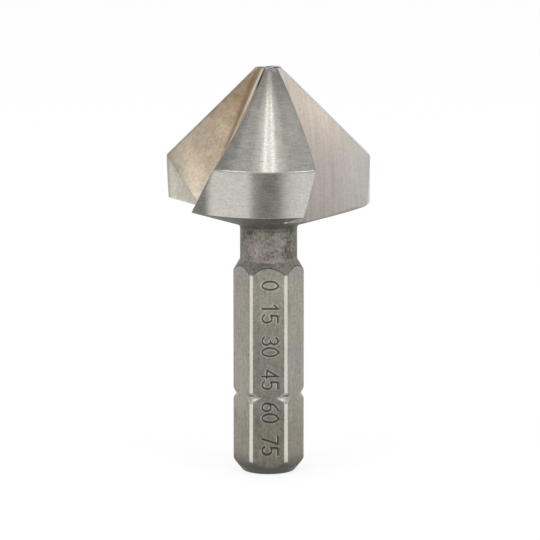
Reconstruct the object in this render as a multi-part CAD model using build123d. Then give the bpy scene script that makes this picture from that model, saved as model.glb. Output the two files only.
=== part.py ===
from build123d import *
import math
import os

# Three-flute countersink bit on a quarter-inch hex shank, in millimetres.
# It stands on the flat end of its shank: Z is the turning axis and the tip points up.

# the whole tool
total_length = 41.0
head_diameter = 20.5

# head
cone_angle = 90.0                # included angle of the cutting cone
tip_flat_diameter = 2.7
band_height = 4.55               # cylindrical band under the cone
underside_angle = 17.8           # rise of the underside, from the horizontal
land_relief = 0.10               # how far a land falls from its cutting edge to its heel

# neck
neck_diameter = 5.74
neck_fillet = 0.6

# hex shank
hex_across_flats = 6.35          # quarter-inch drive
corner_turning_diameter = 7.10   # the corners of the bar are turned to this
hex_length = 20.5                # from the end face to where the corners start to fall away
hex_top_angle = 30.0             # shoulder towards the neck, from the axis
end_face_diameter = 5.36
end_chamfer_angle = 37.0         # from the axis
hex_end_rounding = 0.6           # softens where each end's taper meets the corners

# retaining groove round the corners
groove_height = 7.90             # its deepest line above the end face
groove_depth = 0.31
groove_flank_angle = 33.0        # each flank, from the axis
groove_shoulder_radius = 0.8     # where the flanks meet the corners

# flutes: a slightly helical V whose root runs out from the axis as it goes down
flute_count = 3
flute_lead = 426.0               # depth in which the flutes would make one full turn
rake_azimuth = -47.9             # direction of the rake face at the tip, seen from above
rake_lean_angle = 8.2            # how the rake face falls back with depth, from the axis
heel_azimuth = 27.9              # direction of the facing heel wall at the tip
heel_start = 0.19                # how far past the axis the heel wall lies at the tip
heel_lean_angle = 22.8           # how the heel wall moves back with depth, from the axis
flute_root_radius = 0.55
flute_overrun = 1.0              # the cut starts this far above the tip
flute_steps = 3                  # sections the cut is lofted through

# what follows from those
head_radius = head_diameter / 2
tip_flat_radius = tip_flat_diameter / 2
neck_radius = neck_diameter / 2
corner_radius = corner_turning_diameter / 2
end_face_radius = end_face_diameter / 2
cone_height = (head_radius - tip_flat_radius) / math.tan(math.radians(cone_angle / 2))
collar_height = total_length - cone_height
band_bottom = collar_height - band_height
underside_slope = math.tan(math.radians(underside_angle))
neck_top = band_bottom - (head_radius - neck_radius) * underside_slope
shoulder_height = (corner_radius - neck_radius) / math.tan(math.radians(hex_top_angle))
neck_bottom = hex_length + shoulder_height
end_chamfer_height = (corner_radius - end_face_radius) / math.tan(math.radians(end_chamfer_angle))
groove_half_height = groove_depth / math.tan(math.radians(groove_flank_angle))
flute_pitch = 360 / flute_count


def polar(radius, angle):
    return (radius * math.cos(math.radians(angle)), radius * math.sin(math.radians(angle)))


def profile(points):
    """Half section of a turned form, from points given as (radius, height)."""
    outline = Polyline(*[(radius, 0, height) for radius, height in points], close=True)
    return make_face(outline)


def round_corner(face, radius_at, height_at, size):
    corner = face.vertices().sort_by_distance((radius_at, 0, height_at))[0]
    return fillet(corner, size)


# head and neck as turned, a little oversize where the lands are relieved
blank_radius = head_radius + land_relief
blank_face = profile([
    (0, hex_length),
    (neck_radius, hex_length),
    (neck_radius, neck_top),
    (blank_radius, band_bottom + land_relief * underside_slope),
    (blank_radius, total_length),
    (0, total_length),
])
blank_face = round_corner(blank_face, neck_radius, neck_top, neck_fillet)
blank = revolve(blank_face, axis=Axis.Z)


def flute_turn(depth):
    """Angle by which a flute has turned at a depth below the tip."""
    return -360 * depth / flute_lead


# relieved lands: each third of the head is turned about an axis set off by the relief
land_radius = head_radius - land_relief / 2
land_tip_radius = tip_flat_radius - land_relief / 2
land_form = revolve(
    profile([
        (0, hex_length),
        (land_radius, hex_length),
        (land_radius, collar_height),
        (land_tip_radius, total_length),
        (0, total_length),
    ]),
    axis=Axis.Z,
)
sector_face = profile([
    (0, hex_length),
    (2 * head_radius, hex_length),
    (2 * head_radius, total_length),
    (0, total_length),
])
rake_at_collar = rake_azimuth + flute_turn(cone_height)
sector_start = rake_at_collar + flute_pitch / 6 - flute_pitch     # falls in the open part of a flute
sector = Rot(0, 0, sector_start) * revolve(sector_face, axis=Axis.Z, revolution_arc=flute_pitch)
relief_shift = polar(land_relief, rake_at_collar + flute_pitch / 2)
land = sector & (Pos(relief_shift[0], relief_shift[1], 0) * land_form)
lands = [Rot(0, 0, index * flute_pitch) * land for index in range(flute_count)]
head = blank & (lands[0] + lands[1:])


def flute_section(depth):
    """Cross section of one flute at a depth below the tip."""
    rake_angle = rake_azimuth + flute_turn(depth)
    heel_angle = heel_azimuth + flute_turn(depth)
    rake_offset = -depth * math.tan(math.radians(rake_lean_angle))
    heel_offset = -heel_start - depth * math.tan(math.radians(heel_lean_angle))
    opening = math.radians(heel_azimuth - rake_azimuth)
    along_rake = (rake_offset * math.cos(opening) - heel_offset) / math.sin(opening)
    root = Vector(*polar(along_rake, rake_angle)) + Vector(*polar(rake_offset, rake_angle + 90))
    tangent_length = flute_root_radius / math.tan(opening / 2)
    arc_depth = flute_root_radius / math.sin(opening / 2) - flute_root_radius
    rake_way = Vector(*polar(1, rake_angle))
    heel_way = Vector(*polar(1, heel_angle))
    middle_way = Vector(*polar(1, (rake_angle + heel_angle) / 2))
    reach = 2 * head_radius
    rake_end = root + rake_way * reach
    heel_end = root + heel_way * reach
    rake_tangent = root + rake_way * tangent_length
    heel_tangent = root + heel_way * tangent_length
    outline = Wire([
        Line(rake_end, rake_tangent).edge(),
        ThreePointArc(rake_tangent, root + middle_way * arc_depth, heel_tangent).edge(),
        Line(heel_tangent, heel_end).edge(),
        Line(heel_end, rake_end).edge(),
    ])
    return Pos(0, 0, total_length - depth) * Face(outline)


flute_depth = total_length - neck_top
sections = []
for step in range(flute_steps):
    fraction = step / (flute_steps - 1)
    sections.append(flute_section(fraction * (flute_depth + flute_overrun) - flute_overrun))
flute = loft(sections)
for index in range(flute_count):
    head = head - Rot(0, 0, index * flute_pitch) * flute

# hex shank: the turned form cut out of hexagonal bar, one flat facing -Y
shank_face = profile([
    (0, 0),
    (end_face_radius, 0),
    (corner_radius, end_chamfer_height),
    (corner_radius, groove_height - groove_half_height),
    (corner_radius - groove_depth, groove_height),
    (corner_radius, groove_height + groove_half_height),
    (corner_radius, hex_length),
    (neck_radius, neck_bottom),
    (0, neck_bottom),
])
for height, size in (
    (end_chamfer_height, hex_end_rounding),
    (groove_height - groove_half_height, groove_shoulder_radius),
    (groove_height + groove_half_height, groove_shoulder_radius),
    (hex_length, hex_end_rounding),
):
    shank_face = round_corner(shank_face, corner_radius, height, size)
shank_form = revolve(shank_face, axis=Axis.Z)
hex_bar = extrude(RegularPolygon(hex_across_flats / 2, 6, major_radius=False), neck_bottom)
shank = shank_form & hex_bar

countersink_bit = head + shank
countersink_bit.label = "countersink_bit"

os.makedirs("parts", exist_ok=True)
export_step(countersink_bit, "parts/countersink_bit.step")

box = countersink_bit.bounding_box()
print("solids", len(countersink_bit.solids()), "faces", len(countersink_bit.faces()))
print("volume", round(countersink_bit.volume, 1), "mm3")
print("size", round(box.size.X, 2), round(box.size.Y, 2), round(box.size.Z, 2))
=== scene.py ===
import math
import bmesh
import bpy
import numpy as np
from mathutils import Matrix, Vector


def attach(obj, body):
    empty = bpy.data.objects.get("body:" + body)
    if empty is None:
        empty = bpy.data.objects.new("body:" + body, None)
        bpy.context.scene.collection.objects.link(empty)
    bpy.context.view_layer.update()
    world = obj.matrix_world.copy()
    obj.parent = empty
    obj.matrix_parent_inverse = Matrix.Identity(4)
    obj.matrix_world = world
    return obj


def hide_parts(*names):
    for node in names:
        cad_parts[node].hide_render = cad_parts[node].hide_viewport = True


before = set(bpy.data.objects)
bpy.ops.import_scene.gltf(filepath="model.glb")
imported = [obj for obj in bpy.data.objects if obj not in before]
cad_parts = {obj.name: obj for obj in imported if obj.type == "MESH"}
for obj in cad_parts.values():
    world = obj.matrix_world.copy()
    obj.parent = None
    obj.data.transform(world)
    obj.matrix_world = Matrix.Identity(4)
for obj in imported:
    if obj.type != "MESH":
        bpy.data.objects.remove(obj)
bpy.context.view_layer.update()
scene = bpy.context.scene
scene.view_settings.view_transform = "Standard"
mm = 0.001


shot = {
    "aim": 20.5,                 # height looked at, mm
    "distance": 466.0,           # mm from there
    "elevation": 10.94,          # degrees above the horizon
    "pixelsPerMm": 9.955,        # at the turning axis
    "picture": 540,              # pixels across
    "axisColumn": 268.6,         # where the axis falls
    "aimRow": 269.45,
}


def placeCamera(p):
    data = bpy.data.cameras.new("camera")
    cam = bpy.data.objects.new("camera", data)
    scene.collection.objects.link(cam)
    tilt = math.radians(p["elevation"])
    reach = p["distance"] * mm
    cam.location = (0, -reach * math.cos(tilt), p["aim"] * mm + reach * math.sin(tilt))
    cam.rotation_euler = (math.pi / 2 - tilt, 0, 0)
    data.sensor_width = 36
    data.lens = data.sensor_width * p["pixelsPerMm"] * p["distance"] / p["picture"]
    data.shift_x = (p["picture"] / 2 - p["axisColumn"]) / p["picture"]
    data.shift_y = (p["aimRow"] - p["picture"] / 2) / p["picture"]
    data.clip_start = 0.01
    scene.camera = cam


placeCamera(shot)
print("camera placed")


# the bit is one skin: rows of points that go round its axis, from the tip down
bit = {                          # millimetres and degrees
    "length": 41.0,
    "headRadius": 10.25,
    "tipRadius": 1.35,
    "bandHeight": 4.55,
    "undersideAngle": 17.8,
    "relief": 0.10,              # a land's fall from cutting edge to heel
    "flutes": 3,
    "fluteLead": 426.0,
    "rakeAzimuth": -47.9,
    "rakeLean": 8.2,
    "heelAzimuth": 27.9,
    "heelStart": 0.19,
    "heelLean": 22.8,
    "rootRadius": 0.55,
    "neckRadius": 2.87,
    "neckFillet": 0.6,
    "acrossFlats": 6.35,
    "cornerRadius": 3.55,
    "hexTop": 20.5,
    "shoulderAngle": 30.0,
    "endRadius": 2.68,
    "endAngle": 37.0,
    "endRounding": 0.04,         # how far the taper's foot is drawn in
    "endReach": 0.72,            # and up to what height
    "grooveHeight": 7.90,
    "grooveDepth": 0.31,
    "grooveAngle": 33.0,
    "edgeWidth": 0.045,          # how wide the rounded edges are; lands and heels carry a painted highlight on them
    "tipInset": (0.05, 0.02),    # the tip's worn edge, in two rows
    "tipDrop": (0.0, 0.02),
    "collarBlend": 0.09,         # how far the rounding of each turned corner reaches
    "bandBlend": 0.11,
    "shoulderBlend": 0.085,
    "neckBlend": 0.08,
    "grooveBlend": 0.135,
    "endBlend": 0.13,
    "flatBlend": 0.035,
    "neckStop": 0.5,             # where the neck's rings end and the shank's begin, over the shoulder's top
    "shankStart": 0.2,
    "bendRows": 7,               # round the collar's and the band's corner
    "coneRows": 50,
    "bandRows": 22,
    "undersideRows": 20,
    "exitRows": 12,              # from where the flutes run out to the fillet
    "filletRows": 10,
    "neckRows": 14,
    "shoulderRows": 26,
    "fineTop": 20.15,            # the shank's rows are close together between these heights
    "fineEnd": 1.9,
    "fineStep": 0.055,
    "taperRows": 26,
    "taperEnd": 0.12,
    "lastHeights": (0.09, 0.06, 0.035, 0.015, 0.0),
    "landColumns": 36,
    "fluteColumns": 36,
    "fluteSpread": 4,            # how much closer they lie towards the root
    "edgeColumns": 3,            # inside each bend round an edge
    "cornerColumns": (0, 1.7, 3.0, 3.6, 4.4),    # degrees to both sides of each of the bar's corners
    "flatColumns": 9,            # across a plain flat, out to flatHalf
    "flatHalf": 1.2,
    "markedColumns": 41,         # across the marked one, out to 1 mm
    "markedBeside": (1.15, 1.3),     # two more on each side of those
}
halvings = 48                    # steps in which a height or edge is found
collarHeight = bit["length"] - (bit["headRadius"] - bit["tipRadius"])
bandBottom = collarHeight - bit["bandHeight"]
undersideRise = math.tan(math.radians(bit["undersideAngle"]))
neckTop = bandBottom - (bit["headRadius"] - bit["neckRadius"]) * undersideRise
shoulderRise = math.tan(math.radians(bit["shoulderAngle"]))
neckBottom = bit["hexTop"] + (bit["cornerRadius"] - bit["neckRadius"]) / shoulderRise
pitch = 2 * math.pi / bit["flutes"]
firstWall = bit["landColumns"] + bit["edgeColumns"]      # the first column on a flute's wall
thirdColumns = firstWall + bit["fluteColumns"] + 1 + bit["edgeColumns"]


def softMin(a, b, blend):        # the smaller of two values, rounded off where they cross
    near = np.clip(1 - np.abs(a - b) / blend, 0, None)
    return np.minimum(a, b) - near * near * blend / 4


def way(angle):
    return np.stack([np.cos(angle), np.sin(angle)], -1)


def turning(angle):              # the matrix that turns rows of plane points by an angle
    return np.array([[math.cos(angle), math.sin(angle)], [-math.sin(angle), math.cos(angle)]])


def undersideRadius(z):
    return bit["neckRadius"] + (z - neckTop) / undersideRise


def turnAt(z):                   # how far a flute has turned at this height
    return -2 * math.pi * (bit["length"] - z) / bit["fluteLead"]


def landRadius(angle, z, land=0):
    # a circle set off by the relief, whose radius is the lesser of cone, cylinder and underside
    cone = bit["tipRadius"] + bit["length"] - z
    turned = softMin(cone, bit["headRadius"] + 0 * z, bit["collarBlend"]) - bit["relief"] / 2
    reliefWay = math.radians(bit["rakeAzimuth"]) + turnAt(collarHeight) + pitch / 2 + land * pitch
    swing = angle - reliefWay
    outer = bit["relief"] * np.cos(swing) + np.sqrt(turned**2 - (bit["relief"] * np.sin(swing)) ** 2)
    return softMin(outer, undersideRadius(z), bit["bandBlend"])


def fluteLines(z):
    depth = bit["length"] - z
    rake = math.radians(bit["rakeAzimuth"]) + turnAt(z)
    heel = math.radians(bit["heelAzimuth"]) + turnAt(z)
    rakeOffset = -depth * math.tan(math.radians(bit["rakeLean"]))
    heelOffset = -bit["heelStart"] - depth * math.tan(math.radians(bit["heelLean"]))
    opening = math.radians(bit["heelAzimuth"] - bit["rakeAzimuth"])
    along = (rakeOffset * math.cos(opening) - heelOffset) / math.sin(opening)
    apex = way(rake) * along[..., None] + way(rake + math.pi / 2) * rakeOffset[..., None]
    centre = apex + way((rake + heel) / 2) * bit["rootRadius"] / math.sin(opening / 2)
    return rake, heel, centre, opening


def flutePoint(z, s):
    # the flute's section at height z: straight, root arc, straight; s runs along it from the root,
    # below zero on the rake side and above zero on the heel side
    rake, heel, centre, opening = fluteLines(z)
    half = bit["rootRadius"] * (math.pi - opening) / 2
    onArc = np.clip(s, -half, half)
    arcWay = (rake + heel) / 2 + math.pi - onArc / bit["rootRadius"]
    point = centre + way(arcWay) * bit["rootRadius"]
    point = point + way(heel) * np.clip(s - half, 0, None)[..., None]
    return point + way(rake) * np.clip(-s - half, 0, None)[..., None]


def fluteNearest(z):             # where along the section it comes nearest to the turning axis
    rake, heel, centre, opening = fluteLines(z)
    half = bit["rootRadius"] * (math.pi - opening) / 2
    inward = np.arctan2(-centre[..., 1], -centre[..., 0])
    swing = (rake + heel) / 2 + math.pi - inward
    onArc = (np.mod(swing + math.pi, 2 * math.pi) - math.pi) * bit["rootRadius"]
    tangent = centre + way(heel + math.pi / 2) * bit["rootRadius"]
    short = -np.sum(tangent * way(heel), -1)
    return np.where(short > 0, half + short, np.clip(onArc, -half, half))


def fluteEdge(z, side):          # where the section meets the land, found by halving
    near = fluteNearest(z)
    far = near + side * 2 * bit["headRadius"]
    land = 0 if side < 0 else 1
    for step in range(halvings):
        middle = (near + far) / 2
        point = flutePoint(z, middle)
        angle = np.arctan2(point[..., 1], point[..., 0])
        outside = np.hypot(point[..., 0], point[..., 1]) > landRadius(angle, z, land)
        near, far = np.where(outside, near, middle), np.where(outside, middle, far)
    return near


def exitHeight():                # the lowest height that a flute reaches, on the underside
    low, high = np.array(neckTop + 0.3), np.array(bandBottom)        # one on each side of it
    for step in range(halvings):
        middle = (low + high) / 2
        point = flutePoint(middle, fluteNearest(middle))
        inside = math.hypot(point[0], point[1]) < undersideRadius(middle)
        low, high = (low, middle) if inside else (middle, high)
    return float(high)


def curveThrough(a, b, c, count):    # a short bend from a to c that turns towards b, without its ends
    f = np.linspace(0, 1, count + 2)[1:-1, None]
    return (1 - f) ** 2 * a[..., None, :] + 2 * f * (1 - f) * b[..., None, :] + f**2 * c[..., None, :]


def unwrap(angle, near):
    return near + np.mod(angle - near + math.pi, 2 * math.pi) - math.pi


def headOutline(z):
    # one third of the outline at each height: land, cutting edge, flute, heel edge;
    # across is how far each point of the flute lies from its root, below zero on the rake side
    rakeEnd, heelEnd, nearest = fluteEdge(z, -1), fluteEdge(z, 1), fluteNearest(z)
    width = np.minimum(bit["edgeWidth"], (heelEnd - rakeEnd) * 0.1)      # less where the flute is narrow
    cutting, heel = flutePoint(z, rakeEnd), flutePoint(z, heelEnd)
    cuttingAngle = np.arctan2(cutting[:, 1], cutting[:, 0])
    heelAngle = unwrap(np.arctan2(heel[:, 1], heel[:, 0]) - pitch, cuttingAngle - pitch / 2)
    radius = np.hypot(cutting[:, 0], cutting[:, 1])
    trim = width / radius
    f = np.linspace(0, 1, bit["landColumns"])
    angle = heelAngle[:, None] + trim[:, None] + f * (cuttingAngle - heelAngle - 2 * trim)[:, None]
    arc = way(angle) * landRadius(angle, z[:, None])[..., None]
    half = bit["fluteColumns"] // 2
    spread = np.sinh(bit["fluteSpread"] * np.linspace(0, 1, half + 1)) / math.sinh(bit["fluteSpread"])
    rakeSide = nearest[:, None] + (rakeEnd + width - nearest)[:, None] * spread[::-1]
    heelSide = nearest[:, None] + (heelEnd - width - nearest)[:, None] * spread[1:]
    s = np.concatenate([rakeSide, heelSide], 1)
    wall = flutePoint(z[:, None] + 0 * s, s)
    nextStart = arc[:, 0] @ turning(pitch)
    cuttingBend = curveThrough(arc[:, -1], cutting, wall[:, 0], bit["edgeColumns"])
    heelBend = curveThrough(wall[:, -1], heel, nextStart, bit["edgeColumns"])
    across = np.zeros((len(z), thirdColumns))
    across[:, firstWall:firstWall + s.shape[1]] = s
    return np.concatenate([arc, cuttingBend, wall, heelBend], 1), across


def wholeRound(third):           # repeats a third of the outline round the axis
    return np.concatenate([third @ turning(k * pitch) for k in range(bit["flutes"])], 1)


def headHeights():               # from under the tip down to where the flutes run out
    soft = 2 * bit["edgeWidth"]
    bend = soft * np.linspace(1, -1, bit["bendRows"])
    cone = np.linspace(bit["length"] - soft, collarHeight + soft, bit["coneRows"])[:-1]
    band = np.linspace(collarHeight - soft, bandBottom + soft, bit["bandRows"])[1:-1]
    # closer together towards the flutes' end
    under = zExit + (bandBottom - soft - zExit) * np.linspace(1, 0, bit["undersideRows"]) ** 1.6
    return np.concatenate([cone, collarHeight + bend, band, bandBottom + bend, under[1:]])


def inset(outline, by):          # moves a closed outline inwards
    along = np.roll(outline, -1, 0) - np.roll(outline, 1, 0)
    along = along / np.hypot(along[:, 0], along[:, 1])[:, None]
    return outline + by * np.stack([-along[:, 1], along[:, 0]], 1)


def lift(outline, heights):      # gives rows of plane points their heights
    z = np.broadcast_to(np.asarray(heights)[:, None, None], outline.shape[:2] + (1,))
    return np.concatenate([outline, z], 2)


def neckProfile():               # radius and height from the flutes' end down to the shoulder
    slope = math.radians(bit["undersideAngle"])
    turn = math.pi / 2 - slope
    start = bit["neckFillet"] * math.tan(turn / 2)
    centre = np.array([bit["neckRadius"] + bit["neckFillet"], neckTop - start])
    sweep = slope + math.pi / 2 + np.linspace(0, turn, bit["filletRows"])
    fillet = centre + bit["neckFillet"] * np.stack([np.cos(sweep), np.sin(sweep)], 1)
    first = np.array([undersideRadius(zExit), zExit])
    under = first + (fillet[0] - first) * np.linspace(0, 1, bit["exitRows"])[:-1, None]
    down = np.linspace(fillet[-1, 1], neckBottom + bit["neckStop"], bit["neckRows"])[1:]
    return np.concatenate([under, fillet, np.stack([bit["neckRadius"] + 0 * down, down], 1)])


def turnedRadius(z):
    # the shank's turned form: end taper, grooved cylinder and shoulder, each corner rounded off
    taper = bit["endRadius"] + z * math.tan(math.radians(bit["endAngle"]))
    taper = taper - bit["endRounding"] * np.clip(1 - z / bit["endReach"], 0, None) ** 2
    grooveRise = math.tan(math.radians(bit["grooveAngle"]))
    groove = bit["cornerRadius"] - bit["grooveDepth"] + np.abs(z - bit["grooveHeight"]) * grooveRise
    shoulder = bit["cornerRadius"] - (z - bit["hexTop"]) * shoulderRise
    shoulder = -softMin(-shoulder, -bit["neckRadius"] + 0 * z, bit["neckBlend"])
    form = softMin(taper, bit["cornerRadius"] + 0 * z, bit["endBlend"])
    form = softMin(form, groove, bit["grooveBlend"])
    return softMin(form, shoulder, bit["shoulderBlend"])


def flatRadius(angle):           # the hexagon's distance from the axis, one flat facing -Y
    swing = np.mod(angle + math.pi / 2 + math.pi / 6, math.pi / 3) - math.pi / 6
    return bit["acrossFlats"] / 2 / np.cos(swing)


def shankAngles():               # closer together at the corners and across the marked flat
    corner = np.radians(bit["cornerColumns"])
    corner = np.concatenate([-corner[:0:-1], corner])
    half = bit["acrossFlats"] / 2
    plain = np.arctan(np.linspace(-bit["flatHalf"], bit["flatHalf"], bit["flatColumns"]) / half)
    beside = np.array(bit["markedBeside"])
    fine = np.concatenate([-beside[::-1], np.linspace(-1, 1, bit["markedColumns"]), beside])
    fine = np.arctan(fine / half)
    angles = [fine - math.pi / 2]
    for k in range(6):
        angles.append(corner - math.pi / 3 + k * math.pi / 3)
        if k < 5:
            angles.append(plain - math.pi / 6 + k * math.pi / 3)
    return np.concatenate(angles)


# numbers rolled into the flat that faces the front
marking = {
    "numbers": "0 15 30 45 60 75",
    "top": 19.9,                 # where they start, mm above the end face
    "advance": 1.13,             # mm from one figure to the next
    "height": 1.62,
    "shift": 0.15,               # to the right of the flat's middle
    "strokeWidth": 0.205,
    "wall": 0.035,               # half the width of a stroke's sloping wall
    "depth": 0.055,
    "lip": 0.012,                # metal raised beside a stroke
    "lipAway": 0.06,             # how far it lies from the stroke's edge
    "lipSpread": 0.04,
    "halfTurn": 0.4,             # strokes and lips stay this near the flat's middle, in radians
}


def arcStroke(x, y, rx, ry, start, end, count=10):
    a = np.radians(np.linspace(start, end, count))
    return np.stack([x + rx * np.cos(a), y + ry * np.sin(a)], 1)


figures = {                      # strokes in a cell one unit high
    "0": [arcStroke(0.28, 0.5, 0.26, 0.49, 0, 360, 20)],
    "1": [np.array([[0.1, 0.76], [0.34, 0.98], [0.34, 0.0]])],
    "3": [arcStroke(0.26, 0.75, 0.23, 0.23, 150, -90), arcStroke(0.26, 0.27, 0.27, 0.26, 90, -150)],
    "4": [np.array([[0.42, 0.0], [0.42, 0.98], [0.02, 0.3], [0.56, 0.3]])],
    "5": [np.array([[0.5, 0.97], [0.1, 0.97], [0.07, 0.56]]), arcStroke(0.25, 0.31, 0.27, 0.3, 130, -150)],
    "6": [arcStroke(0.53, 0.29, 0.5, 0.7, 97, 180), arcStroke(0.28, 0.28, 0.25, 0.27, 0, 360, 16)],
    "7": [np.array([[0.03, 0.97], [0.53, 0.97], [0.2, 0.0]])],
}


def strokeDistance(x, z):        # how far each point of the flat is from the nearest stroke
    nearest = np.full(x.shape, np.inf)
    for place, figure in enumerate(marking["numbers"]):
        for stroke in figures.get(figure, []):
            line = stroke * marking["height"]
            line = np.stack([line[:, 1] - marking["height"] / 2 + marking["shift"],
                             marking["top"] - place * marking["advance"] - line[:, 0]], 1)
            for a, b in zip(line[:-1], line[1:]):
                run = b - a
                f = np.clip(((x - a[0]) * run[0] + (z - a[1]) * run[1]) / (run @ run), 0, 1)
                nearest = np.minimum(nearest, np.hypot(x - a[0] - f * run[0], z - a[1] - f * run[1]))
    return nearest


def shankGrid():
    fine = np.arange(bit["fineTop"], bit["fineEnd"], -bit["fineStep"])
    top = np.linspace(neckBottom + bit["shankStart"], fine[0] + bit["fineStep"], bit["shoulderRows"])
    taper = np.linspace(bit["fineEnd"], bit["taperEnd"], bit["taperRows"])
    z = np.concatenate([top, fine, taper, bit["lastHeights"]])
    angle = shankAngles()
    flat, turned = flatRadius(angle)[None, :], turnedRadius(z)[:, None]
    points = lift(way(angle)[None] * softMin(flat, turned, bit["flatBlend"])[..., None], z)
    # strokes go in and their lips stand out, on the flat that faces the front alone
    front = np.abs(angle + math.pi / 2) < marking["halfTurn"]
    away = strokeDistance(points[..., 0], points[..., 2]) - marking["strokeWidth"] / 2
    struck = np.clip((marking["wall"] - away) / (2 * marking["wall"]), 0, 1) * front
    struck = struck * struck * (3 - 2 * struck)
    lip = np.exp(-((away - marking["lipAway"]) / marking["lipSpread"]) ** 2) * front
    points[..., 1] += struck * marking["depth"] - lip * marking["lip"]
    # above zero where the turned form lies inside the flats, up to 0.3 mm
    turnedDepth = np.clip(flat - turned, -0.3, 0.3)
    return angle, points, struck, lip, np.broadcast_to(turnedDepth, struck.shape)


land, rake, heel, neck, shank = range(5)     # which finish a face takes


class Skin:                      # gathers grids of points and the faces between them
    def __init__(self):
        self.points, self.faces, self.finish, self.marks, self.count = [], [], [], {}, 0

    def place(self, points, **marks):
        index = self.count + np.arange(points.shape[0] * points.shape[1]).reshape(points.shape[:2])
        self.points.append(points.reshape(-1, 3))
        for name, values in marks.items():
            self.marks.setdefault(name, []).append((self.count, np.ravel(values)))
        self.count += index.size
        return index

    def join(self, index, finish):       # quads between rows that close round the axis
        after = np.roll(index, -1, 1)
        quads = np.stack([index[:-1], index[1:], after[1:], after[:-1]], -1)
        self.faces += quads.reshape(-1, 4).tolist()
        self.finish.append(np.broadcast_to(finish, quads.shape[:2]).ravel())

    def stitch(self, upper, lower, upperAngle, lowerAngle, finish):
        # triangles between two rings with unlike numbers of points, taken in the order of their angles
        upperEnds = np.roll(upperAngle, -1)
        lowerEnds = np.append(lowerAngle[1:], lowerAngle[0] + 2 * math.pi)
        below = np.searchsorted(lowerAngle, upperEnds, side="right") - 1
        above = np.searchsorted(upperAngle, lowerEnds, side="left") - 1
        self.faces += np.stack([upper, lower[below], np.roll(upper, -1)], -1).tolist()
        self.faces += np.stack([lower, np.roll(lower, -1), upper[above]], -1).tolist()
        self.finish.append(np.full(len(upper) + len(lower), finish))

    def cap(self, ring, finish):
        self.faces.append(ring.tolist())
        self.finish.append(np.array([finish]))

    def mesh(self, name):
        mesh = bpy.data.meshes.new(name)
        mesh.from_pydata(np.concatenate(self.points) * mm, [], self.faces)
        mesh.polygons.foreach_set("material_index", np.concatenate(self.finish).astype(np.int32))
        mesh.polygons.foreach_set("use_smooth", np.ones(len(mesh.polygons), bool))
        for label, parts in self.marks.items():
            values = np.zeros(self.count, np.float32)
            for first, part in parts:
                values[first:first + len(part)] = part
            mesh.attributes.new(label, "FLOAT", "POINT").data.foreach_set("value", values)
        return mesh


def addHead(skin):               # the lands and flutes, from the tip to where the flutes run out
    z = headHeights()
    third, across = headOutline(z)
    outline = wholeRound(third)
    tipRows = np.stack([inset(outline[0], by) for by in bit["tipInset"]])
    tipHeights = [bit["length"] - drop for drop in bit["tipDrop"]]
    rows = np.concatenate([lift(tipRows, tipHeights), lift(outline, z)])
    across = np.tile(across, (1, bit["flutes"]))
    across = np.concatenate([across[:1], across[:1], across])
    column = np.arange(outline.shape[1]) % thirdColumns
    onEdge = (column >= bit["landColumns"]) & (column < firstWall)
    onEdge |= column >= thirdColumns - bit["edgeColumns"]
    index = skin.place(rows, across=across, edge=np.broadcast_to(onEdge, rows.shape[:2]))
    middle = firstWall + bit["fluteColumns"] // 2
    finish = np.full(outline.shape[1], land)
    finish[(column >= firstWall) & (column < middle)] = rake
    finish[(column >= middle) & (column < firstWall + bit["fluteColumns"])] = heel
    below = (rows[:-1, 0, 2] < bandBottom)[:, None]
    skin.join(index, np.where(below & (finish == land), neck, finish))
    skin.cap(index[0], land)
    # the lands' columns, each one once, since a third starts where the last one ends
    return outline[-1][column < bit["landColumns"] - 1]


def addNeck(skin, ring):         # plain rings that carry the lands' columns on down
    profile = neckProfile()
    ringWay = ring / np.hypot(ring[:, 0], ring[:, 1])[:, None]
    index = skin.place(lift(ringWay[None] * profile[:, None, :1], profile[:, 1]))
    skin.join(index, neck)
    return index[-1], np.arctan2(ringWay[:, 1], ringWay[:, 0])


def addShank(skin, neckRing, neckAngle):
    angle, points, struck, lip, turned = shankGrid()
    index = skin.place(points, struck=struck, lip=lip, turned=turned)
    skin.join(index, shank)
    skin.cap(index[-1][::-1], shank)
    neckAngle = np.mod(neckAngle - angle[0], 2 * math.pi)
    order = np.argsort(neckAngle)
    skin.stitch(neckRing[order], index[0], neckAngle[order], angle - angle[0], neck)


def makeBit():
    skin = Skin()
    ring = addHead(skin)
    addShank(skin, *addNeck(skin, ring))
    piece = bpy.data.objects.new("countersinkBit", skin.mesh("countersinkBit"))
    scene.collection.objects.link(piece)
    return piece


def weld(piece, seam=2e-7, sliver=1e-8):     # closes the seams between the grids; both sizes in metres
    work = bmesh.new()
    work.from_mesh(piece.data)
    bmesh.ops.remove_doubles(work, verts=work.verts, dist=seam)
    bmesh.ops.dissolve_degenerate(work, edges=work.edges, dist=sliver)
    gaps = sum(len(edge.link_faces) != 2 for edge in work.edges)
    print("bit welded:", gaps, "open edges,", round(work.calc_volume() / mm**3, 1), "cubic mm")
    work.to_mesh(piece.data)
    work.free()


zExit = exitHeight()
bitPiece = makeBit()
weld(bitPiece)
print("bit made:", sum(len(p.vertices) - 2 for p in bitPiece.data.polygons), "triangles")


class Value:                     # a shader number that can stand in a sum
    def __init__(self, finish, socket):
        self.finish, self.socket = finish, socket

    def work(self, operation, *terms):
        node = self.finish.add("ShaderNodeMath", {"operation": operation}, dict(enumerate(terms)))
        return Value(self.finish, node.outputs[0])

    def __add__(self, other):
        return self.work("ADD", self, other)

    def __sub__(self, other):
        return self.work("SUBTRACT", self, other)

    def __rsub__(self, other):
        return self.work("SUBTRACT", other, self)

    def __mul__(self, other):
        return self.work("MULTIPLY", self, other)

    def __truediv__(self, other):
        return self.work("DIVIDE", self, other)

    def __neg__(self):
        return self * -1

    __radd__, __rmul__ = __add__, __mul__


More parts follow.
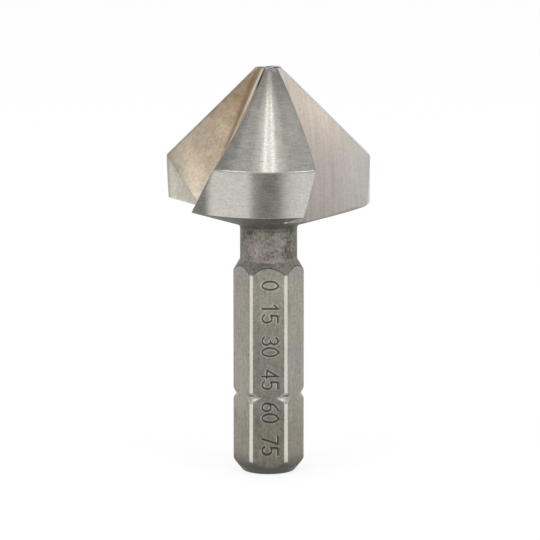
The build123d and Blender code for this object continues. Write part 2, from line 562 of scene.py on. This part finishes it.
class Finish:                    # builds one material, or the world, node by node
    def __init__(self, name, owner=None):
        self.owner = owner or bpy.data.materials.new(name)
        self.owner.use_nodes = True
        self.tree = self.owner.node_tree
        self.tree.nodes.clear()

    def add(self, kind, settings={}, values={}):
        node = self.tree.nodes.new(kind)
        for name, setting in settings.items():
            setattr(node, name, setting)
        for name, value in values.items():
            socket = node.inputs[name]
            value = value.socket if isinstance(value, Value) else value
            if isinstance(value, bpy.types.NodeSocket):
                self.tree.links.new(value, socket)
            else:
                socket.default_value = (*value, 1) if socket.type == "RGBA" else value
        return node

    def attribute(self, name):
        return Value(self, self.add("ShaderNodeAttribute", {"attribute_name": name}).outputs["Fac"])

    def axes(self):              # the point's three coordinates in millimetres
        place = self.add("ShaderNodeTexCoord").outputs["Object"]
        return [Value(self, out) / mm for out in self.add("ShaderNodeSeparateXYZ", {}, {0: place}).outputs]

    def noise(self, x, y, z, detail=2.0, roughness=0.5, distortion=0.0):     # runs about -1 to 1
        where = self.add("ShaderNodeCombineXYZ", {}, {0: x, 1: y, 2: z}).outputs[0]
        values = {"Vector": where, "Scale": 1.0, "Detail": detail, "Roughness": roughness,
                  "Distortion": distortion}
        return Value(self, self.add("ShaderNodeTexNoise", {}, values).outputs[0]) * 4 - 2

    def ease(self, value, low, high):    # 0 below low, 1 above high, smooth between
        values = {"Value": value, "From Min": low, "From Max": high}
        node = self.add("ShaderNodeMapRange", {"interpolation_type": "SMOOTHSTEP"}, values)
        return Value(self, node.outputs[0])

    def blend(self, amount, a, b):
        settings = {"data_type": "RGBA", "clamp_factor": True}
        return self.add("ShaderNodeMix", settings, {0: amount, 6: a, 7: b}).outputs[2]

    def shade(self, colour, tone):       # a colour made lighter or darker by a number
        node = self.add("ShaderNodeVectorMath", {"operation": "SCALE"}, {0: colour, "Scale": tone})
        return node.outputs[0]

    def metal(self, colour, roughness, height, depth, **constants):
        # depth is how far a height of 1 stands out, in micrometres
        bump = self.add("ShaderNodeBump", {}, {"Height": height, "Strength": 1.0, "Distance": depth * 1e-6})
        values = {"Base Color": colour, "Metallic": 1.0, "Roughness": roughness, "Normal": bump.outputs[0]}
        values.update({name.replace("_", " "): value for name, value in constants.items()})
        shader = self.add("ShaderNodeBsdfPrincipled", {}, values)
        self.add("ShaderNodeOutputMaterial", {}, {0: shader.outputs[0]})
        return self.owner


steel = {                        # colours as they show in plain light, some with painted light and shade in them, and how rough each finish is
    "land": (0.300, 0.294, 0.268),
    "landTipShade": (0.165, 0.163, 0.145),        # the lands near the tip, darker: painted shade that dims their highlight
    "landWarm": (0.42, 0.33, 0.30),          # a faint tint in patches
    "landRoughness": 0.19,
    "rake": (0.77, 0.67, 0.525),
    "rakeRed": (0.56, 0.40, 0.31),           # in patches on the upper half
    "rakeBrown": (0.31, 0.24, 0.155),        # towards the tip, and down the root as a painted shadow band
    "rakeEdge": (0.21, 0.18, 0.145),         # along the cutting edge
    "rakePlain": (0.40, 0.38, 0.33),         # below the line where the rake's grinding ends
    "rakeEnd": 25.81,                        # that line's height at the root, mm
    "rakeEndSlope": 1.026,                   # and how much it climbs for each mm outwards
    "heel": (0.315, 0.285, 0.262),
    "heelPale": (0.475, 0.420, 0.362),       # towards the tip
    "heelGrey": (0.322, 0.310, 0.283),       # outwards
    "heelBrown": (0.32, 0.25, 0.19),         # in patches
    "heelTip": (0.45, 0.437, 0.415),         # at the very tip
    "root": (0.50, 0.47, 0.415),             # the bright line down the upper root: painted highlight
    # painted shade in the root
    "rootDark": (0.085, 0.075, 0.055),
    "wallRoughness": 0.38,
    "neck": (0.198, 0.192, 0.163),
    "neckPink": (0.275, 0.218, 0.205),       # heat colours, in patches
    "neckGreen": (0.200, 0.200, 0.128),
    "shoulder": (0.25, 0.238, 0.208),
    # painted shade under the head
    "underside": (0.106, 0.106, 0.090),
    "neckRoughness": 0.58,
    "flat": (0.318, 0.302, 0.258),
    "flatLow": (0.258, 0.240, 0.198),        # the flats below the groove
    "flatWarm": (0.335, 0.285, 0.255),       # in long patches
    "stain": (0.21, 0.155, 0.120),           # spots on the lower shank
    # the turned corners, brighter than the flats: partly their turned finish, partly painted highlight
    "corner": (0.36, 0.345, 0.31),
    "taper": (0.205, 0.203, 0.184),
    "stroke": (0.07, 0.066, 0.056),
    "flatRoughness": 0.33,
    "paintedHighlight": (0.56, 0.54, 0.49),              # bright edges, lines, lips and flanks: painted highlight
}


# the finishes count heights on the head from its tip, those below it from the end face or the groove
tip = bit["length"]
groove = bit["grooveHeight"]


def paintedEdgeHighlights(f, colour):        # narrow bright edges: painted highlight
    return f.blend(f.ease(f.attribute("edge"), 0.3, 0.9) * 0.5, colour, steel["paintedHighlight"])


def landSteel():                 # level grinding lines over fine specks and faint clouds
    f = Finish("landSteel")
    x, y, z = f.axes()
    lines = f.noise(x * 1.1, y * 1.1, z * 9)
    specks = f.noise(x * 4.5, y * 4.5, z * 4.5)
    clouds = f.noise(x * 0.7, y * 0.7, z * 0.7, 3.0)
    warm = f.noise(x + 9, y, z) * 0.5 + 0.5
    # darker towards the tip: painted shade that dims the highlight there
    colour = f.blend(f.ease(z, tip - 4, tip - 0.4), steel["land"], steel["landTipShade"])
    colour = f.blend(warm * 0.10, colour, steel["landWarm"])
    colour = f.shade(colour, 1 + lines * 0.09 + specks * 0.12 + clouds * 0.07)
    # a painted highlight along the edges
    colour = paintedEdgeHighlights(f, colour)
    # a painted highlight along the collar too
    collarHighlight = 1 - f.ease(z.work("ABSOLUTE", z - collarHeight), 0.03, 0.10)
    colour = f.blend(collarHighlight * 0.22, colour, steel["paintedHighlight"])
    rough = steel["landRoughness"] + lines * 0.03 + clouds * 0.03 + f.ease(z, tip - 3, tip - 0.4) * 0.12
    return f.metal(colour, rough, lines + specks * 0.4, 0.4, Anisotropic=0.7, Anisotropic_Rotation=0.25)


def rakeSteel():                 # warm and mottled, browner to the tip, painted light and shade across it and along the root, greyer under its end line
    f = Finish("rakeSteel")
    x, y, z = f.axes()
    out = -f.attribute("across")
    lines = f.noise(out * 5, z * 0.5, 0.0)
    specks = f.noise(x * 3.5, y * 3.5, z * 3.5)
    clouds = f.noise(x * 0.45, y * 0.45, z * 0.45, 3.0, 0.5, 0.6)
    mottle = f.noise(x * 1.3, y * 1.3, z * 1.3, 3.0, 0.6)
    red = f.noise(x * 0.5, y * 0.5 + 4, z * 0.5)
    reddened = f.ease(red, 0.0, 0.8) * f.ease(z, tip - 8, tip - 4)
    colour = f.blend(reddened * 0.5, steel["rake"], steel["rakeRed"])
    brown = f.ease(z, tip - 6.6, tip - 0.7) * 0.76
    # down the root the brown is a painted shadow band
    brown = brown + (1 - f.ease(out, 0.35, 1.1)) * f.ease(z, tip - 11, tip - 5) * 0.7
    colour = f.blend(brown - clouds * 0.2 + mottle * 0.14, colour, steel["rakeBrown"])
    # painted light and shade: lighter towards the root, darker outwards and just above the end line; plain
    # under it
    end = z - out * steel["rakeEndSlope"] - steel["rakeEnd"] + clouds * 0.05
    low = (1 - f.ease(end, 0.0, 2.6)) * (0.36 - f.ease(z, tip - 11.5, tip - 9) * 0.2)
    colour = f.shade(colour, 1.23 - f.ease(out, 1.6, 6.2) * 0.63 - low)
    colour = f.blend(1 - f.ease(end, -0.12, 0.06), colour, steel["rakePlain"])
    radius = x.work("SQRT", x * x + y * y)
    rim = radius.work("MAXIMUM", radius - bit["headRadius"], radius + z - bit["tipRadius"] - tip)
    colour = f.blend(f.ease(rim, -0.45, -0.08) * 0.55, colour, steel["rakeEdge"])
    # a thin darker line along the end line: painted shade of a crease
    crease = f.ease(end, -0.22, -0.05) * (1 - f.ease(end, -0.05, 0.2))
    colour = f.shade(colour, 1 + lines * 0.08 + specks * 0.14 + clouds * 0.08 - crease * 0.16)
    # painted light along the root: a highlight near the tip, shade below that, a highlight where it runs out,
    # and deep shade right in the root near the tip
    high = f.ease(z, tip - 5.6, tip - 3)
    root = f.ease(-out, -0.80, -0.40)
    colour = f.blend(root * (1 - high) * f.ease(z, tip - 15.5, tip - 14) * 0.85, colour, steel["rakeBrown"])
    colour = f.blend(root * (1 - f.ease(z, tip - 16.4, tip - 15.4)) * 0.7, colour, steel["paintedHighlight"])
    colour = f.blend(f.ease(-out, -0.27, -0.21) * high * 0.9, colour, steel["root"])
    colour = f.blend(f.ease(-out, -0.04, 0.02) * f.ease(z, tip - 2.6, tip - 1.4), colour, steel["rootDark"])
    colour = f.blend(f.ease(f.attribute("edge"), 0.2, 0.9) * 0.6, colour, steel["rakeEdge"])
    rough = steel["wallRoughness"] + lines * 0.02 + clouds * 0.03
    return f.metal(colour, rough, lines + specks * 0.6, 1.2)


def heelSteel():                 # striped along the root, paler towards the tip, greyer outwards
    f = Finish("heelSteel")
    x, y, z = f.axes()
    out = f.attribute("across")
    stripes = f.noise(out * 3.2, z * 0.12, 0.0, 3.0, 0.6)
    specks = f.noise(x * 3.5, y * 3.5, z * 3.5)
    clouds = f.noise(x * 0.5, y * 0.5, z * 0.5, 3.0)
    mottle = f.noise(x * 1.7, y * 1.7, z * 1.7, 3.0, 0.6)
    colour = f.blend(f.ease(z, tip - 10.5, tip - 2.5), steel["heel"], steel["heelPale"])
    colour = f.blend(f.ease(out, 5.0, 9.5), colour, steel["heelGrey"])
    brown = f.ease(mottle, 0.2, 1.1) * f.ease(z, tip - 8.5, tip - 5) * 0.45
    colour = f.blend(brown, colour, steel["heelBrown"])
    colour = f.blend(f.ease(z + clouds * 0.1, tip - 1.5, tip - 1.2), colour, steel["heelTip"])
    low = 1 - f.ease(z, tip - 16, tip - 9)
    colour = f.shade(colour, 1 + stripes * 0.12 + specks * 0.07 + clouds * 0.05 - low * 0.12)
    # painted shade: darker into the root, and along it below the tip
    rootShade = 1 - f.ease(out, 0.3, 1.1)
    colour = f.blend(rootShade * (0.2 - f.ease(z, tip - 3, tip - 1.5) * 0.1), colour, steel["rootDark"])
    crease = (1 - f.ease(out, 0.3, 0.6)) * f.ease(z, tip - 15.5, tip - 14)
    crease = crease * (1 - f.ease(z, tip - 5.6, tip - 3.6))
    colour = f.blend(crease * 0.6, colour, steel["rootDark"])
    # a painted highlight along the edges
    colour = paintedEdgeHighlights(f, colour)
    rough = steel["wallRoughness"] + stripes * 0.03 + clouds * 0.02
    return f.metal(colour, rough, stripes + specks * 0.4, 1.5)


def neckSteel():                 # turned, then mottled with faint heat colours; painted shade under the head
    f = Finish("neckSteel")
    x, y, z = f.axes()
    lines = f.noise(x * 0.9, y * 0.9, z * 5)
    specks = f.noise(x * 3.8, y * 3.8, z * 3.2, 3.0, 0.6)
    clouds = f.noise(x * 0.75, y * 0.75, z * 0.6, 3.0)
    heat = f.noise(x * 0.6 + 7, y * 0.6, z * 0.6)
    colour = f.blend(f.ease(heat, 0.1, 0.9) * 0.7, steel["neck"], steel["neckPink"])
    colour = f.blend(f.ease(-heat, 0.1, 0.9) * 0.7, colour, steel["neckGreen"])
    # painted shade under the head
    colour = f.blend(f.ease(z, tip - 16.7, tip - 15.8), colour, steel["underside"])
    colour = f.shade(colour, 1 + lines * 0.20 + specks * 0.55 + clouds * 0.32)
    rough = steel["neckRoughness"] + clouds * 0.05
    return f.metal(colour, rough, lines + specks, 2.5)


def shankSteel():                # drawn flats, turned corners, a dark end and struck numbers
    f = Finish("shankSteel")
    x, y, z = f.axes()
    drawn = f.noise(x * 4.5, y * 4.5, z * 0.6)
    specks = f.noise(x * 4, y * 4, z * 4)
    clouds = f.noise(x * 0.5, y * 0.5, z * 0.35, 3.0)
    stains = f.noise(x * 1.6, y * 1.6, z * 1.2, 3.0, 0.6)
    warm = f.noise(x * 0.9 + 3, y * 0.9, z * 0.35, 3.0)
    turned = f.ease(f.attribute("turned"), -0.012, 0.004)
    shoulder = f.ease(z, bit["hexTop"] - 0.1, bit["hexTop"] + 0.1) * turned
    flat = f.blend(1 - f.ease(z + clouds, 4.0, 9.0), steel["flat"], steel["flatLow"])
    flat = f.blend(f.ease(warm, -0.1, 1.0) * 0.45, flat, steel["flatWarm"])
    corner = f.blend(1 - f.ease(z, 0.9, 1.35), steel["corner"], steel["taper"])
    corner = f.blend(shoulder, corner, steel["shoulder"])
    colour = f.blend(turned, flat, corner)
    # painted shade on the groove's upper flank where it begins, a painted highlight on its lower flank
    foldShade = f.ease(z, groove + 0.18, groove + 0.32) * (1 - f.ease(z, groove + 0.51, groove + 0.6)) * turned
    colour = f.blend(foldShade * 0.95, colour, steel["taper"])
    wingHighlight = f.ease(z, groove - 0.85, groove - 0.65) * (1 - f.ease(z, groove - 0.24, groove - 0.1)) * turned
    colour = f.blend(wingHighlight * 0.25, colour, steel["paintedHighlight"])
    stained = f.ease(stains, 0.45, 1.15) * (1 - f.ease(z, 6.0, 12.0))
    colour = f.blend(stained * 0.45, colour, steel["stain"])
    tone = 1 + drawn * (0.14 - turned * 0.08) + specks * (0.22 - turned * 0.15 + shoulder * 0.35)
    colour = f.shade(colour, tone + clouds * 0.07)
    # a painted shadow line over each flat's arch, then the numbers, and their lips lighter with a painted
    # highlight
    foot = shoulder * (1 - f.ease(f.attribute("turned"), 0.03, 0.07))
    colour = f.blend(foot * 0.8, colour, steel["stroke"])
    colour = f.blend(f.attribute("struck") * 0.95, colour, steel["stroke"])
    colour = f.blend(f.attribute("lip") * 0.35, colour, steel["paintedHighlight"])
    rough = steel["flatRoughness"] + specks * 0.02 + clouds * 0.03 - turned * 0.1 + shoulder * 0.35
    return f.metal(colour, rough, (drawn + specks) * (1 - turned * 0.8), 1.2)


for make in (landSteel, rakeSteel, heelSteel, neckSteel, shankSteel):
    bitPiece.data.materials.append(make())
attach(bitPiece, "root")
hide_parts("countersink_bit")
print("finishes made")


studio = {                       # metres and degrees
    "white": 1.17,               # what the camera and reflections find of the floor's own light, with
    "floorKeep": 0.3,            # this share of its real light and shadow, makes white
    "floorPaint": 0.85,
    "fill": 0.6,                 # the world's light on the scene
    "floorSize": 6.0,
    "centre": (0, 0, 0.030),     # where the lamps aim
    "tableRadius": 0.45,         # a round card that lies this much over the floor
    "tableLift": 0.00002,
    "stripsFrom": -0.25,         # how the strips over the tip run, front to back
    "stripsTo": 0.1,
}
# azimuths run from the camera's side to its right
lamps = {                        # azimuth, elevation, distance, width, height, brightness
    "leftLamp": (-50, 51, 0.40, 0.19, 0.10, 2.6),
    "rightLamp": (50, 51, 0.40, 0.19, 0.10, 2.6),
    "topLamp": (-2, 79, 0.40, 0.17, 0.34, 0.45),
    "topLampInner": (-2, 79, 0.39, 0.08, 0.33, 0.55),
}
# what the table looks like in reflections: how far out each ring starts, then azimuths and levels
tableSteps = {
    "under": (0.0, [(0, 0.42)]),
    "close": (0.0045, [(0, 0.36)]),
    "near": (0.0082, [(-112, 1.0), (-106, 0.88), (-76, 0.88), (-66, 1.95), (-24, 1.95), (-20, 1.15),
                      (20, 1.15), (24, 1.9), (66, 1.9), (76, 0.88), (106, 0.88), (112, 1.0)]),
    "middle": (0.066, [(-112, 1.0), (-106, 0.6), (-76, 0.6), (-66, 1.95), (-24, 1.95), (-18, 0.6),
                       (14, 0.6), (24, 1.9), (66, 1.9), (76, 0.6), (106, 0.6), (112, 1.0)]),
    "far": (0.105, [(-116, 1.0), (-110, 0.5), (-76, 0.55), (-67, 1.95), (-24, 1.9), (-17, 0.85),
                    (-9, 0.48), (-4, 0.41), (4, 0.43), (10, 0.67), (17, 1.4), (24, 1.75), (34, 1.95),
                    (66, 1.9), (76, 0.6), (106, 0.6), (112, 1.0)]),
}
leftFlag = {                     # darkens what the left side reflects high up
    "azimuths": (-112, -78),
    "elevations": (36, 66),
    "away": 0.35,
    "level": 0.6,
}
topCards = {                     # strips over the tip: from and to across, height above it, level
    "topLineLeft": (-0.0285, -0.0195, 0.39, 4.4),
    "topLineRight": (0.0130, 0.0220, 0.39, 4.4),
}
frontCard = {                    # stands on the floor close before the shank
    "halfWidth": 0.005,
    "height": 0.014,
    "away": 0.011,
    "level": 0.6,
}


def isSeen(f):                   # 1 for the rays that should find a white background
    path = f.add("ShaderNodeLightPath").outputs
    seen, shiny, through = (Value(f, path[f"Is {kind} Ray"]) for kind in ("Camera", "Glossy", "Transmission"))
    return seen + shiny + through


def addObject(name, data):
    thing = bpy.data.objects.new(name, data)
    scene.collection.objects.link(thing)
    return thing


def flatSheet(name, corners, material):
    mesh = bpy.data.meshes.new(name)
    mesh.from_pydata([tuple(map(float, c)) for c in corners], [], [tuple(range(len(corners)))])
    mesh.materials.append(material)
    sheet = addObject(name, mesh)
    return sheet


def makeFloor(p):
    half = p["floorSize"] / 2
    f = Finish("floorPaint")
    paint = f.add("ShaderNodeBsdfDiffuse", {}, {"Color": (p["floorPaint"],) * 3}).outputs[0]
    white = f.add("ShaderNodeEmission", {}, {"Strength": p["white"]}).outputs[0]
    mixed = f.add("ShaderNodeMixShader", {}, {0: isSeen(f) * (1 - p["floorKeep"]), 1: paint, 2: white})
    f.add("ShaderNodeOutputMaterial", {}, {0: mixed.outputs[0]})
    flatSheet("floor", [(-half, -half, 0), (half, -half, 0), (half, half, 0), (-half, half, 0)], f.owner)


def makeWorld(p):
    scene.world = bpy.data.worlds.new("studio")
    f = Finish("studio", scene.world)
    fill = f.add("ShaderNodeBackground", {}, {"Color": (1, 1, 1), "Strength": p["fill"]}).outputs[0]
    white = f.add("ShaderNodeBackground", {}, {"Color": (1, 1, 1), "Strength": 1.0}).outputs[0]
    mixed = f.add("ShaderNodeMixShader", {}, {0: isSeen(f), 1: fill, 2: white})
    f.add("ShaderNodeOutputWorld", {}, {0: mixed.outputs[0]})


def outwards(azimuth, elevation, reach):     # a step away from the bit
    a, e = math.radians(azimuth), math.radians(elevation)
    return np.array([math.sin(a) * math.cos(e), -math.cos(a) * math.cos(e), math.sin(e)]) * reach


def makeLamp(name, azimuth, elevation, reach, width, height, brightness):
    data = bpy.data.lights.new(name, "AREA")
    data.shape, data.size, data.size_y = "RECTANGLE", width, height
    data.energy = brightness * math.pi * width * height
    lamp = addObject(name, data)
    lamp.location = outwards(azimuth, elevation, reach) + studio["centre"]
    lamp.rotation_euler = (Vector(studio["centre"]) - lamp.location).to_track_quat("-Z", "Y").to_euler()
    lamp.visible_camera = False


def hide(card):                  # only reflections find it
    card.visible_camera = card.visible_diffuse = card.visible_shadow = card.visible_transmission = False


def makeCard(name, corners, level):
    f = Finish(name)
    glow = f.add("ShaderNodeEmission", {}, {"Strength": level}).outputs[0]
    f.add("ShaderNodeOutputMaterial", {}, {0: glow})
    hide(flatSheet(name, corners, f.owner))


def makeTable(p, steps):         # a round card on the floor whose level changes with azimuth and distance
    f = Finish("tableCard")
    x, y = f.axes()[:2]
    azimuth = x.work("ARCTAN2", x, -y) * (180 / math.pi)
    reach = x.work("SQRT", x * x + y * y) * mm
    level = 0
    for start, stops in steps.values():
        ramp = f.add("ShaderNodeFloatCurve", {}, {"Value": azimuth / 360 + 0.5})
        ramp.mapping.extend = "HORIZONTAL"
        # the curve holds 0 to 1, so a full turn and a level of 2 are each made 1 in it
        curve = ramp.mapping.curves[0]
        curve.points[0].location = (stops[0][0] / 360 + 0.5, stops[0][1] / 2)
        curve.points[1].location = (1.0, stops[-1][1] / 2)
        for turn, value in stops[1:]:
            curve.points.new(turn / 360 + 0.5, value / 2)
        for point in curve.points:
            point.handle_type = "VECTOR"
        ramp.mapping.update()
        inside = reach.work("GREATER_THAN", reach, start)
        level = inside * (Value(f, ramp.outputs[0]) * 2) + (1 - inside) * level
    glow = f.add("ShaderNodeEmission", {}, {"Color": level, "Strength": 1.0}).outputs[0]
    f.add("ShaderNodeOutputMaterial", {}, {0: glow})
    rim = way(np.radians(np.arange(0, 360, 5))) * p["tableRadius"]
    hide(flatSheet("tableCard", lift(rim[None], [p["tableLift"]])[0], f.owner))


def makeFlag(p):
    start, end = p["azimuths"]
    low, high = p["elevations"]
    sides = ((start, low), (end, low), (end, high), (start, high))
    makeCard("leftFlagHigh", [outwards(a, e, p["away"]) + studio["centre"] for a, e in sides], p["level"])


def makeStrip(p, name, left, right, height, level):
    front, back, z = p["stripsFrom"], p["stripsTo"], bit["length"] * mm + height
    makeCard(name, [(left, front, z), (right, front, z), (right, back, z), (left, back, z)], level)


def makeFrontCard(p):
    x, y, top = p["halfWidth"], -p["away"], p["height"]
    makeCard("frontCard", [(-x, y, 0), (x, y, 0), (x, y, top), (-x, y, top)], p["level"])


makeFloor(studio)
makeWorld(studio)
for name, lamp in lamps.items():
    makeLamp(name, *lamp)
makeTable(studio, tableSteps)
makeFlag(leftFlag)
makeFrontCard(frontCard)
for name, strip in topCards.items():
    makeStrip(studio, name, *strip)
print("studio made")
